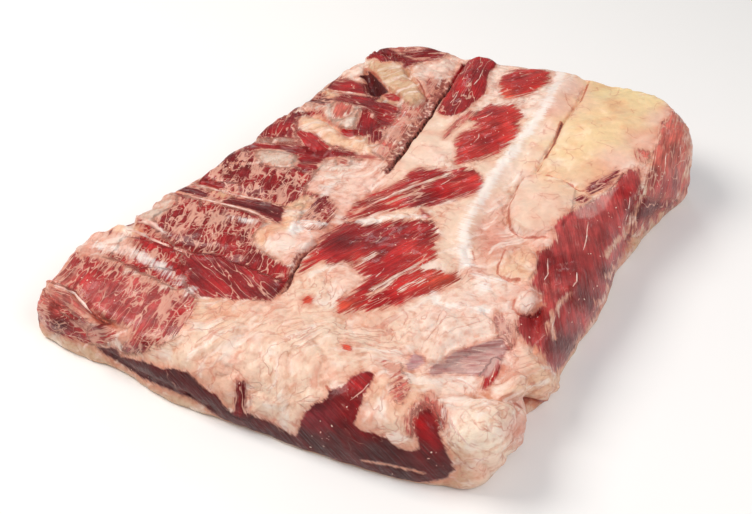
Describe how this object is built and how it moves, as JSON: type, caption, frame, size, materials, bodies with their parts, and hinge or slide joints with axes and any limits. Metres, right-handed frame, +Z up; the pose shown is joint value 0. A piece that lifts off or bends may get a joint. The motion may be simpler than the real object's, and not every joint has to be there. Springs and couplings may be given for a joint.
{
  "type": "beef brisket",
  "caption": "Raw boneless beef brisket, a thick slab of marbled red lean and cream fat, lying on its fat cap with the rib side up.",
  "frame": {"origin": "centre of the bounding box on the surface the slab lies on", "axes": "+X from the breastbone side to the thick yellow-fat block, +Y from the thin front end to the back end, +Z up"},
  "size_m": [0.3699, 0.4125, 0.0631],
  "materials": {
    "raw_beef": "satin"
  },
  "bodies": {
    "root": {"brisket": "raw_beef"}
  },
  "joints": []
}
